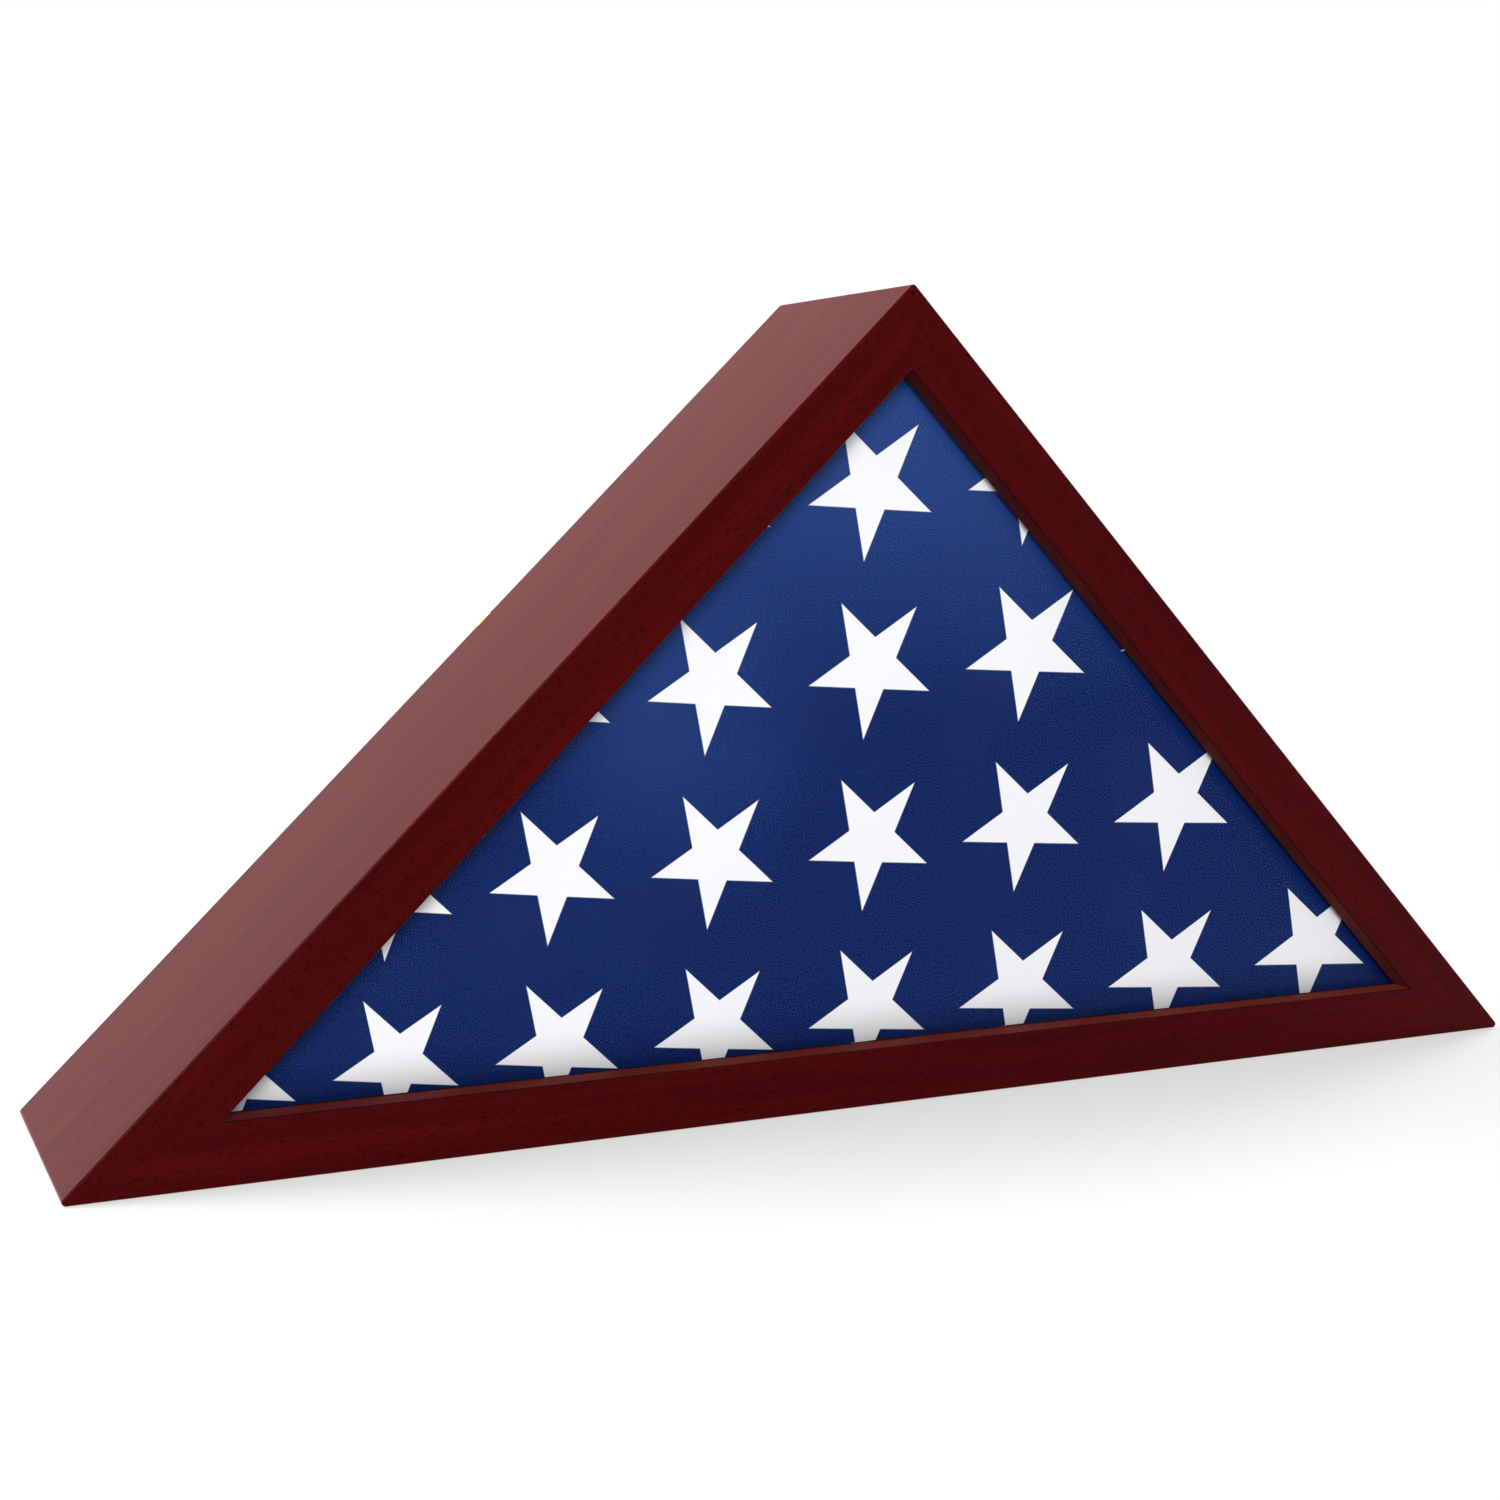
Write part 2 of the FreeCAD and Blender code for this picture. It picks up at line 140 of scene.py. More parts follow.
@dataclass(frozen=True)
class StainedMahogany:
    """Planed mahogany, stained deep red.

    The eye sees a near-even dark red with long faint streaks and short dark pores, under a
    satin lacquer that turns hazy only at a low angle. The real pores are about 0.2 mm wide; they
    are drawn wider to show.
    """

    name: str
    grain: float
    dark: str = "#3D0406"
    light: str = "#4C0709"
    streak_mm: float = 7.0
    streak_length_mm: float = 160.0
    streak_detail: float = 3.0
    streak_range: tuple[float, float] = (0.3, 0.7)
    pore: str = "#220203"
    pore_mm: float = 0.8
    pore_length_mm: float = 2.2
    pore_detail: float = 1.0
    pore_range: tuple[float, float] = (0.56, 0.7)
    pore_share: float = 0.7
    pore_relief_mm: float = 0.15
    pore_bump: float = 0.12
    # Painted shade: faces that look into the window take this darker colour for the recess's shade.
    edge: str = "#260203"
    edge_roughness: float = 0.7
    edge_range: tuple[float, float] = (0.6, 0.8)
    roughness: float = 0.3
    roughness_swing: float = 0.01
    ior: float = 1.14
    gleam: str = "#FFC4BC"
    haze: str = "#FF7060"
    haze_share: float = 0.45

    def material(self) -> bpy.types.Material:
        """Build the wood's material.

        Returns:
            The new material.
        """
        made = bpy.data.materials.new(self.name)
        tree = new_tree(made)
        place = add(tree, PLACE).outputs["Object"]
        turn = (0.0, math.radians(self.grain), 0.0)
        turned = add(tree, "ShaderNodeMapping", {"Vector": place, "Rotation": turn}).outputs[0]
        streaks = self.figure(
            tree, turned, self.streak_length_mm, self.streak_mm, self.streak_detail
        )
        pores = self.figure(tree, turned, self.pore_length_mm, self.pore_mm, self.pore_detail)
        start, full = self.streak_range
        tone = add(tree, RANGE, {0: streaks, 1: start, 2: full, 3: 0.0, 4: 1.0}).outputs[0]
        low, high = self.roughness - self.roughness_swing, self.roughness + self.roughness_swing
        polish = add(tree, RANGE, {0: streaks, 1: start, 2: full, 3: high, 4: low}).outputs[0]
        shallow, deep = self.pore_range
        pits = add(
            tree, RANGE, {0: pores, 1: shallow, 2: deep, 3: 0.0, 4: self.pore_share}
        ).outputs[0]
        shades = {0: tone, 6: linear(self.dark), 7: linear(self.light)}
        wood = add(tree, MIX, shades, data_type="RGBA").outputs[2]
        grained = add(tree, MIX, {0: pits, 6: wood, 7: linear(self.pore)}, data_type="RGBA")
        # Painted shade on the faces that look into the window, which are also made duller.
        rim_shade_and_dullness = self.rim_shade_and_dullness(tree)
        colour = add(
            tree, MIX, {0: rim_shade_and_dullness, 6: grained.outputs[2], 7: linear(self.edge)}, data_type="RGBA"
        ).outputs[2]
        gloss = add(tree, RANGE, {0: rim_shade_and_dullness, 3: polish, 4: self.edge_roughness}).outputs[0]
        relief = {
            "Height": pits, "Strength": self.pore_bump, "Distance": self.pore_relief_mm * MM,
        }
        bump = add(tree, "ShaderNodeBump", relief, invert=True).outputs[0]
        lacquered = {
            "Base Color": colour,
            "Roughness": gloss,
            "IOR": self.ior,
            "Specular Tint": linear(self.gleam),
            "Sheen Weight": self.haze_share,
            "Sheen Roughness": self.roughness,
            "Sheen Tint": linear(self.haze),
            "Normal": bump,
        }
        add(tree, OUTPUT, {"Surface": add(tree, SURFACE, lacquered).outputs[0]})
        return made

    def rim_shade_and_dullness(self, tree: bpy.types.NodeTree) -> bpy.types.NodeSocket:
        """Draw where the wood looks into the window: there its colour is painted darker, as painted
        shade for the recess, and its finish is rougher and duller.

        Args:
            tree: Node tree to add to.

        Returns:
            Socket that is 1 on the edge of the window and 0 elsewhere.
        """
        facing = add(tree, PLACE).outputs["Normal"]
        turn = math.radians(self.grain)
        window = (-math.sin(turn), 0.0, math.cos(turn))
        towards = add(tree, VECTOR, {0: facing, 1: window}, operation="DOT_PRODUCT").outputs["Value"]
        start, full = self.edge_range
        return add(tree, RANGE, {0: towards, 1: start, 2: full, 3: 0.0, 4: 1.0}).outputs[0]

    def figure(
        self,
        tree: bpy.types.NodeTree,
        place: bpy.types.NodeSocket,
        length_mm: float,
        width_mm: float,
        detail: float,
    ) -> bpy.types.NodeSocket:
        """Draw noise that is stretched along the grain.

        Args:
            tree: Node tree to add to.
            place: Coordinates in metres, the grain along their first axis.
            length_mm: Length of one streak.
            width_mm: Width of one streak.
            detail: Octaves of finer noise.

        Returns:
            The noise value's socket.
        """
        along, across = 1.0 / (length_mm * MM), 1.0 / (width_mm * MM)
        scaled = add(
            tree, "ShaderNodeMapping", {"Vector": place, "Scale": (along, across, across)}
        ).outputs[0]
        return add(tree, NOISE, {"Vector": scaled, "Scale": 1.0, "Detail": detail}).outputs[0]


@dataclass(frozen=True)
class PlainFinish:
    """An even surface with a fine grain in its tone, gloss and relief: plated metal or board."""

    name: str
    colour: str
    fleck: str
    fleck_mm: float
    roughness: float
    roughness_swing: float
    metallic: float
    relief_mm: float
    fleck_detail: float = 4.0
    fleck_range: tuple[float, float] = (0.35, 0.7)
    bump: float = 0.3

    def material(self) -> bpy.types.Material:
        """Build the finish's material.

        Returns:
            The new material.
        """
        made = bpy.data.materials.new(self.name)
        tree = new_tree(made)
        place = add(tree, PLACE).outputs["Object"]
        scale = 1.0 / (self.fleck_mm * MM)
        noise = add(
            tree, NOISE, {"Vector": place, "Scale": scale, "Detail": self.fleck_detail}
        ).outputs[0]
        start, full = self.fleck_range
        share = add(tree, RANGE, {0: noise, 1: start, 2: full, 3: 0.0, 4: 1.0}).outputs[0]
        shades = {0: share, 6: linear(self.colour), 7: linear(self.fleck)}
        colour = add(tree, MIX, shades, data_type="RGBA").outputs[2]
        low, high = self.roughness - self.roughness_swing, self.roughness + self.roughness_swing
        gloss = add(tree, RANGE, {0: share, 3: low, 4: high}).outputs[0]
        relief = {"Height": noise, "Strength": self.bump, "Distance": self.relief_mm * MM}
        bump = add(tree, "ShaderNodeBump", relief).outputs[0]
        surface = {
            "Base Color": colour,
            "Roughness": gloss,
            "Metallic": self.metallic,
            "Normal": bump,
        }
        add(tree, OUTPUT, {"Surface": add(tree, SURFACE, surface).outputs[0]})
        return made


# Brass-plated steel, tumbled after plating: warm, bright, slightly blurred reflections.
BRASS_PLATE = PlainFinish(
    "brass_plated_steel", "#C9A45C", "#B8924C", fleck_mm=3.0,
    roughness=0.28, roughness_swing=0.06, metallic=1.0, relief_mm=0.008,
)
# Zinc-plated steel: pale grey with a soft bluish cast.
ZINC_STEEL = PlainFinish(
    "zinc_plated_steel", "#B9BCC0", "#A3A7AB", fleck_mm=2.0,
    roughness=0.32, roughness_swing=0.06, metallic=1.0, relief_mm=0.008,
)
# Bare spring steel, sheared: darker grey.
SPRING_STEEL = PlainFinish(
    "sheared_spring_steel", "#8D8F92", "#76787B", fleck_mm=2.0,
    roughness=0.42, roughness_swing=0.08, metallic=1.0, relief_mm=0.015,
)
# Hardboard, wet-pressed: brown with fine darker fibres, no shine.
HARDBOARD = PlainFinish(
    "pressed_hardboard", "#6B4A31", "#57391F", fleck_mm=1.2,
    roughness=0.62, roughness_swing=0.08, metallic=0.0, relief_mm=0.15,
)


@dataclass(frozen=True)
class CoatedGlass:
    """Float glass with an anti-reflective coating, as picture frames have.

    The eye looks straight through it and sees a faint reflection only at a low angle.
    """

    name: str = "anti_reflective_float_glass"
    ior: float = 1.1
    shine: str = "#FFFFFF"
    roughness: float = 0.02

    def material(self) -> bpy.types.Material:
        """Build the glass as a thin pane that lets light straight through.

        Returns:
            The new material.
        """
        made = bpy.data.materials.new(self.name)
        tree = new_tree(made)
        # On the way out of the pane the bend is the other way round: one over the index.
        inside = add(tree, "ShaderNodeNewGeometry").outputs["Backfacing"]
        sign = add(tree, MATH, {0: -2.0, 1: inside, 2: 1.0}, operation="MULTIPLY_ADD").outputs[0]
        bend = add(tree, MATH, {0: self.ior, 1: sign}, operation="POWER").outputs[0]
        share = add(tree, "ShaderNodeFresnel", {"IOR": bend}).outputs[0]
        clear = add(tree, "ShaderNodeBsdfTransparent").outputs[0]
        mirror = {"Base Color": linear(self.shine), "Metallic": 1.0, "Roughness": self.roughness}
        shine = add(tree, SURFACE, mirror).outputs[0]
        both = add(tree, "ShaderNodeMixShader", {0: share, 1: clear, 2: shine}).outputs[0]
        add(tree, OUTPUT, {"Surface": both})
        return made


@dataclass(frozen=True)
class StarCloth:
    """Satin-woven flag cloth, dyed blue, with white stars.

    The eye sees a deep blue with a soft sheen and crisp near-white stars; towards the peak and in
    one patch the blue is painted paler, as painted sheen where the cloth catches the light. The
    stars stand in rows that spread a little from left to right, lean by a few degrees and bow where
    the cloth gives.
    Real threads are about 0.15 mm apart; they are drawn coarser to show.
    """

    name: str = "satin_woven_flag_cloth"
    blue: str = "#09225C"
    # Painted sheen: the blue is mixed towards this paler blue near the peak and in one soft patch.
    painted_sheen_blue: str = "#274586"
    sheen_from_mm: float = 155.0
    sheen_to_mm: float = 280.0
    mottle_mm: float = 70.0
    mottle_detail: float = 2.0
    mottle_range: tuple[float, float] = (0.45, 0.75)
    mottle: float = 0.1
    # Painted sheen: one soft pale patch where the cloth catches the light.
    sheen_patch_mm: tuple[float, float] = (-92.0, 150.0)
    sheen_patch_reach_mm: float = 75.0
    sheen_patch: float = 0.42
    white: str = "#F6F7FA"
    thread_mm: float = 0.7
    thread_detail: float = 2.0
    thread_relief_mm: float = 0.1
    thread_bump: float = 0.022
    roughness: float = 0.55
    ior: float = 1.12
    sheen: float = 0.03
    sheen_roughness: float = 0.4
    origin_mm: tuple[float, float] = (-5.6, 104.1)
    across_mm: tuple[float, float] = (69.95, 0.77)
    down_mm: tuple[float, float] = (1.17, -67.96)
    spread: tuple[float, float] = (-0.0241, 0.0074)
    bow: float = 0.0051
    arms: int = 5
    star_mm: float = 28.3
    star_edge_mm: float = 0.15
    tip_degrees: float = 47.4

    def material(self) -> bpy.types.Material:
        """Build the cloth's material.

        Returns:
            The new material.
        """
        made = bpy.data.materials.new(self.name)
        tree = new_tree(made)
        place = add(tree, PLACE).outputs["Object"]
        star = self.star(tree, place)
        # Painted sheen: the ground blue is mixed towards a paler blue near the peak and in one
        # patch.
        dye_and_sheen = {0: self.sheen_and_mottle(tree, place), 6: linear(self.blue), 7: linear(self.painted_sheen_blue)}
        ground = add(tree, MIX, dye_and_sheen, data_type="RGBA").outputs[2]
        printed = {0: star, 6: ground, 7: linear(self.white)}
        colour = add(tree, MIX, printed, data_type="RGBA").outputs[2]
        scale = 1.0 / (self.thread_mm * MM)
        weave = add(
            tree, NOISE, {"Vector": place, "Scale": scale, "Detail": self.thread_detail}
        ).outputs[0]
        relief = {
            "Height": weave, "Strength": self.thread_bump, "Distance": self.thread_relief_mm * MM,
        }
        bump = add(tree, "ShaderNodeBump", relief).outputs[0]
        surface = {
            "Base Color": colour,
            "Roughness": self.roughness,
            "IOR": self.ior,
            "Sheen Weight": self.sheen,
            "Sheen Roughness": self.sheen_roughness,
            "Normal": bump,
        }
        add(tree, OUTPUT, {"Surface": add(tree, SURFACE, surface).outputs[0]})
        return made

    def sheen_and_mottle(
        self, tree: bpy.types.NodeTree, place: bpy.types.NodeSocket
    ) -> bpy.types.NodeSocket:
        """Draw the painted sheen, a paler blue towards the peak and in one soft patch where the
        cloth catches the light, with a random mottle added.

        Args:
            tree: Node tree to add to.
            place: Coordinates in metres in the frame of the case.

        Returns:
            Socket from 0, full blue, to 1, pale.
        """
        # Painted sheen: paler towards the peak.
        height = add(tree, "ShaderNodeSeparateXYZ", {0: place}).outputs["Z"]
        rise = add(
            tree, RANGE, {0: height, 1: self.sheen_from_mm * MM, 2: self.sheen_to_mm * MM}
        ).outputs[0]
        scale = 1.0 / (self.mottle_mm * MM)
        clouds = add(
            tree, NOISE, {"Vector": place, "Scale": scale, "Detail": self.mottle_detail}
        ).outputs[0]
        start, full = self.mottle_range
        swing = add(
            tree, RANGE, {0: clouds, 1: start, 2: full, 3: 0.0, 4: self.mottle}
        ).outputs[0]
        # Painted sheen: one soft pale patch where the cloth catches the light.
        middle = (self.sheen_patch_mm[0] * MM, 0.0, self.sheen_patch_mm[1] * MM)
        front = add(tree, VECTOR, {0: place, 1: (1.0, 0.0, 1.0)}, operation="MULTIPLY").outputs[0]
        away = add(tree, VECTOR, {0: front, 1: middle}, operation="DISTANCE").outputs["Value"]
        sheen_patch = add(
            tree,
            RANGE,
            {0: away, 1: 0.0, 2: self.sheen_patch_reach_mm * MM, 3: self.sheen_patch, 4: 0.0},
            interpolation_type="SMOOTHSTEP",
        ).outputs[0]
        both = add(tree, MATH, {0: swing, 1: sheen_patch}, operation="ADD").outputs[0]
        return add(tree, MATH, {0: rise, 1: both}, operation="ADD", use_clamp=True).outputs[0]

    def lattice(self) -> np.ndarray:
        """Work out where the rows and columns of stars lie.

        Returns:
            Matrix from metres in the front view to star columns and rows, before division.
        """
        (x, z), (ax, az), (dx, dz) = self.origin_mm, self.across_mm, self.down_mm
        plane = np.array([[ax, dx, x], [az, dz, z], [self.spread[0], self.spread[1], 1.0]])
        scale = np.diag([1.0 / MM, 1.0 / MM, 1.0])
        inverse = np.linalg.inv(plane) @ scale
        return inverse / inverse[2, 2]

    def nearest(
        self, tree: bpy.types.NodeTree, place: bpy.types.NodeSocket
    ) -> tuple[bpy.types.NodeSocket, bpy.types.NodeSocket]:
        """Find the way from the middle of the nearest star.

        Args:
            tree: Node tree to add to.
            place: Coordinates in metres in the frame of the case.

        Returns:
            Sockets of the way to the right and up, in millimetres.
        """
        split = add(tree, "ShaderNodeSeparateXYZ", {0: place}).outputs
        sums = []
        for ax, az, shift in self.lattice():
            part = {0: split["Z"], 1: float(az), 2: float(shift)}
            rest = add(tree, MATH, part, operation="MULTIPLY_ADD").outputs[0]
            whole = {0: split["X"], 1: float(ax), 2: rest}
            sums.append(add(tree, MATH, whole, operation="MULTIPLY_ADD").outputs[0])
        column = add(tree, MATH, {0: sums[0], 1: sums[2]}, operation="DIVIDE").outputs[0]
        straight = add(tree, MATH, {0: sums[1], 1: sums[2]}, operation="DIVIDE").outputs[0]
        square = add(tree, MATH, {0: column, 1: column}, operation="MULTIPLY").outputs[0]
        bowed = {0: square, 1: self.bow, 2: straight}
        row = add(tree, MATH, bowed, operation="MULTIPLY_ADD").outputs[0]
        local = []
        for count in (column, row):
            whole = add(tree, MATH, {0: count}, operation="ROUND").outputs[0]
            local.append(add(tree, MATH, {0: count, 1: whole}, operation="SUBTRACT").outputs[0])
        ways = []
        for across, down in zip(self.across_mm, self.down_mm):
            fall = add(tree, MATH, {0: local[1], 1: down}, operation="MULTIPLY").outputs[0]
            way = {0: local[0], 1: across, 2: fall}
            ways.append(add(tree, MATH, way, operation="MULTIPLY_ADD").outputs[0])
        return ways[0], ways[1]

    def star(
        self, tree: bpy.types.NodeTree, place: bpy.types.NodeSocket
    ) -> bpy.types.NodeSocket:
        """Draw the star field.

        Args:
            tree: Node tree to add to.
            place: Coordinates in metres in the frame of the case.

        Returns:
            Socket that is 1 inside a star and 0 outside.
        """
        right, up = self.nearest(tree, place)
        angle = add(tree, MATH, {0: up, 1: right}, operation="ARCTAN2").outputs[0]
        tip = math.radians(self.tip_degrees)
        turned = add(tree, MATH, {0: angle, 1: tip}, operation="SUBTRACT").outputs[0]
        # Half an arm holds the whole star: it is mirrored all the way round.
        half_arm = math.pi / self.arms
        folded = add(tree, MATH, {0: turned, 1: half_arm}, operation="PINGPONG").outputs[0]
        rise = add(tree, MATH, {0: up, 1: up}, operation="MULTIPLY").outputs[0]
        square = add(tree, MATH, {0: right, 1: right, 2: rise}, operation="MULTIPLY_ADD").outputs[0]
        reach = add(tree, MATH, {0: square}, operation="SQRT").outputs[0]
        cosine = add(tree, MATH, {0: folded}, operation="COSINE").outputs[0]
        sine = add(tree, MATH, {0: folded}, operation="SINE").outputs[0]
        along = add(tree, MATH, {0: reach, 1: cosine}, operation="MULTIPLY").outputs[0]
        side = add(tree, MATH, {0: reach, 1: sine}, operation="MULTIPLY").outputs[0]
        # The edges of a five-armed star run straight from tip to tip, so each leans half of that
        # angle from the middle line of its arm.
        lean = half_arm / 2
        left = add(tree, MATH, {0: self.star_mm, 1: along}, operation="SUBTRACT").outputs[0]
        wide = add(tree, MATH, {0: side, 1: -math.cos(lean)}, operation="MULTIPLY").outputs[0]
        depth = add(
            tree, MATH, {0: left, 1: math.sin(lean), 2: wide}, operation="MULTIPLY_ADD"
        ).outputs[0]
        blur = self.star_edge_mm
        return add(tree, RANGE, {0: depth, 1: -blur, 2: blur, 3: 0.0, 4: 1.0}).outputs[0]


def dress(node: str, material: bpy.types.Material) -> None:
    """Give a node of the frame its material.

    Args:
        node: Name of the node.
        material: Material for all of it.
    """
    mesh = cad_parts[node].data
    mesh.materials.clear()
    mesh.materials.append(material)
    LOG.info("dressed %s with %s", node, material.name)


@dataclass
class Woodwork:
    """Rails, liners and the nails in the mitres."""

    rails: tuple[Rail, ...] = tuple(Rail)
    liner_dark: str = "#33100F"
    liner_light: str = "#431615"
    liner_roughness: float = 0.6

    def dress(self) -> None:
        """Give each rail and liner wood with the grain along it, and the nails their steel."""
        for rail in self.rails:
            wood = StainedMahogany(f"satin_lacquered_mahogany_{rail.word}", rail.grain)
            dress(f"{rail.word}_rail", wood.material())
            liner = StainedMahogany(
                f"stained_mahogany_{rail.word}", rail.grain, self.liner_dark, self.liner_light,
                roughness=self.liner_roughness,
            )
            dress(f"{rail.word}_liner", liner.material())
        dress("mitre_v_nails", SPRING_STEEL.material())


@dataclass
class Glazing:
    """The glass pane."""

    glass: CoatedGlass = field(default_factory=CoatedGlass)

    def dress(self) -> None:
        """Give the pane its glass."""
        dress("glass_pane", self.glass.material())


@dataclass
class Back:
    """Back panel, turn buttons, hangers and their screws."""

    buttons: tuple[str, ...] = (
        "left_low", "left_high", "right_low", "right_high", "base_left", "base_right",
    )
    sides: tuple[str, ...] = ("left", "right")

    def dress(self) -> None:
        """Give the board and the hardware their finishes."""
        dress("back_panel", HARDBOARD.material())
        brass, zinc = BRASS_PLATE.material(), ZINC_STEEL.material()
        for button in self.buttons:
            dress(f"turn_button_{button}", brass)
        for side in self.sides:
            dress(f"hanger_strap_{side}", brass)
            dress(f"hanger_ring_{side}", brass)
        dress("turn_button_screws", zinc)
        dress("hanger_screws", zinc)


def frame_width() -> float:
    """Work out the width of the case at its sharp corners, from the base liner's mitres.

    Returns:
        The width in metres.
    """
    low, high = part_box("base_liner")
    wall = low[2]
    return (high[0] - low[0]) + 2 * wall * (1 + ROOT2)


Cell = tuple[int, int]
Spot = tuple[int, int, int]


@dataclass
class FoldedFlag:
    """A flag folded in four along its length and then, end over end, into triangles.

    The cloth is one sheet. Each of its triangles lies on its own layer, and folds join them.
    A cell is one ply of one triangle, and a spot is a point of the triangle's grid. A wave has
    its turns along x and z in radians per metre, its start and its weight.
    """

    hoist: float = 1.524
    fly: float = 2.896
    plies: int = 4
    triangles: int = 15
    steps: int = 30
    edge_room: float = 0.9 * MM
    edge_row: float = 0.005
    front_room: float = 1.1 * MM
    back_room: float = 0.7 * MM
    bulge: float = 0.4 * MM
    swell: float = 0.9 * MM
    waves: tuple[tuple[float, float, float, float], ...] = (
        (17.0, 9.0, 0.4, 1.0), (-14.0, 23.0, 1.9, 1.0), (31.0, -6.0, 0.8, 0.7),
    )
    cloth: StarCloth = field(default_factory=StarCloth)

    def corners(self) -> np.ndarray:
        """Find the corners of the pack.

        Returns:
            Left foot, right foot and peak in the front view.
        """
        half = frame_width() / 2
        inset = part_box("base_liner")[1][2] + self.edge_room
        run = half - inset * (1 + ROOT2)
        return np.array([[-run, inset], [run, inset], [0.0, half - inset * ROOT2]])

    def grid(self) -> tuple[list[Spot], np.ndarray]:
        """Set out the points of one triangle, with a narrow row along each edge.

        Returns:
            Their counts towards the three corners, and their shares of the corners.
        """
        spots = [
            (left, right, self.steps - left - right)
            for left in range(self.steps + 1)
            for right in range(self.steps + 1 - left)
        ]
        shares = np.array(spots, float) / self.steps
        first = 1.0 / self.steps
        shares = np.where(np.isclose(shares, first), self.edge_row, shares)
        return spots, shares / shares.sum(axis=1, keepdims=True)

    def cells(self) -> list[Cell]:
        """List all cells of the sheet, in the order of their points."""
        return [(triangle, ply) for triangle in range(self.triangles) for ply in range(self.plies)]

    def layer(self, triangle: int, ply: int) -> int:
        """Count the layer of a cell from the front."""
        order = ply if triangle % 2 == 0 else self.plies - 1 - ply
        return triangle * self.plies + order

    def folds(self) -> list[tuple[Cell, Cell, int]]:
        """List all folds of the sheet.

        Returns:
            Pairs of cells with the corner opposite their common edge.
        """
        found = []
        for triangle in range(self.triangles - 1):
            step = triangle % 4
            opposite = 2 if step % 2 == 0 else (0 if step == 1 else 1)
            for ply in range(self.plies):
                found.append(((triangle, ply), (triangle + 1, ply), opposite))
        for triangle in range(self.triangles):
            low = triangle % 4 in (1, 2)
            for ply in range(0 if low else 1, self.plies - 1, 2):
                found.append(((triangle, ply), (triangle, ply + 1), 1 if low else 0))
        return found

    def swelling(self, x: np.ndarray, z: np.ndarray) -> np.ndarray:
        """Work out the soft unevenness of the pack.

        Args:
            x: Places across, in metres.
            z: Heights, in metres.

        Returns:
            Values from -1 to 1.
        """
        total = sum(weight * np.sin(ax * x + az * z + start) for ax, az, start, weight in self.waves)
        return total / sum(weight for *_, weight in self.waves)

    def lay(self, flat: np.ndarray) -> np.ndarray:
        """Lay every cell on its layer, softly swollen near the front.

        Args:
            flat: Points of one triangle in the front view.

        Returns:
            Points of the whole sheet, cell after cell.
        """
        layers = self.triangles * self.plies
        low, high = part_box("folded_flag")
        front, back = low[1] + self.front_room, high[1] - self.back_room
        pitch = (back - front) / (layers - 1)
        swelling = self.swelling(flat[:, 0], flat[:, 1])
        blocks = []
        for cell in self.cells():
            level = self.layer(*cell)
            calm = (1.0 - level / layers) ** 2
            depth = front + level * pitch + self.swell * calm * swelling
            blocks.append(np.column_stack([flat[:, 0], depth, flat[:, 1]]))
        return np.concatenate(blocks)

    def join(self, points: np.ndarray, flat: np.ndarray, spots: list[Spot]) -> np.ndarray:
        """Join the cells along their folds, which bulge outward a little.

        Args:
            points: Points of the whole sheet; those on a fold are moved.
            flat: Points of one triangle in the front view.
            spots: Their counts towards the three corners.

        Returns:
            For each point, the number of the point that takes its place.
        """
        start = {cell: index * len(spots) for index, cell in enumerate(self.cells())}
        same = np.arange(len(points))
        middle = flat.mean(axis=0)
        for one, two, opposite in self.folds():
            for index, spot in enumerate(spots):
                if spot[opposite] != 0 or self.steps in spot:
                    continue
                kept, gone = start[one] + index, start[two] + index
                same[gone] = kept
                outward = flat[index] - middle
                outward = outward / np.linalg.norm(outward) * self.bulge
                points[kept, 1] = (points[kept, 1] + points[gone, 1]) / 2
                points[kept, [0, 2]] = flat[index] + outward
        return same

    def faces(self, spots: list[Spot], same: np.ndarray) -> list[list[int]]:
        """List the faces of the whole sheet.

        Args:
            spots: Points of one triangle, as counts towards the three corners.
            same: For each point of the sheet, the point that takes its place.

        Returns:
            Three points for each face.
        """
        number = {spot: index for index, spot in enumerate(spots)}
        trios = []
        for left, right, top in spots:
            if top == 0:
                continue
            second, third = number[(left + 1, right, top - 1)], number[(left, right + 1, top - 1)]
            trios.append((number[(left, right, top)], second, third))
            if top > 1:
                trios.append((second, number[(left + 1, right + 1, top - 2)], third))
        starts = range(0, len(same), len(spots))
        return [[int(same[start + item]) for item in trio] for start in starts for trio in trios]

    def build(self) -> bpy.types.Object:
        """Make the folded sheet and set it in place of the flag's solid.

        Returns:
            The sheet's object.
        """
        spots, shares = self.grid()
        flat = shares @ self.corners()
        points = self.lay(flat)
        faces = self.faces(spots, self.join(points, flat, spots))
        used = np.unique(np.array(faces))
        rank = {int(old): new for new, old in enumerate(used)}
        mesh = bpy.data.meshes.new("folded_flag_cloth")
        mesh.from_pydata(
            points[used].tolist(), [], [[rank[item] for item in face] for face in faces]
        )
        mesh.shade_smooth()
        mesh.materials.append(self.cloth.material())
        made = bpy.data.objects.new("folded_flag_cloth", mesh)
        bpy.context.scene.collection.objects.link(made)
        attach(made, "case")
        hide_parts("folded_flag")
        LOG.info("folded the flag: %d layers, %d faces", len(self.cells()), len(faces))
        return made


@dataclass(frozen=True)
class Lamp:
    """A square soft lamp, its place and side in metres and its power in watts."""

    name: str
    place: tuple[float, float, float]
    side: float
    watts: float

    def hang(self, aim: tuple[float, float, float]) -> None:
        """Hang the lamp so that it points at a spot.

        Args:
            aim: The spot, in metres.
        """
        data = bpy.data.lights.new(self.name, "AREA")
        data.size, data.energy = self.side, self.watts
        made = bpy.data.objects.new(self.name, data)
        made.location = self.place
        made.rotation_mode = "QUATERNION"
        made.rotation_quaternion = (Vector(aim) - Vector(self.place)).to_track_quat("-Z", "Y")
        bpy.context.scene.collection.objects.link(made)


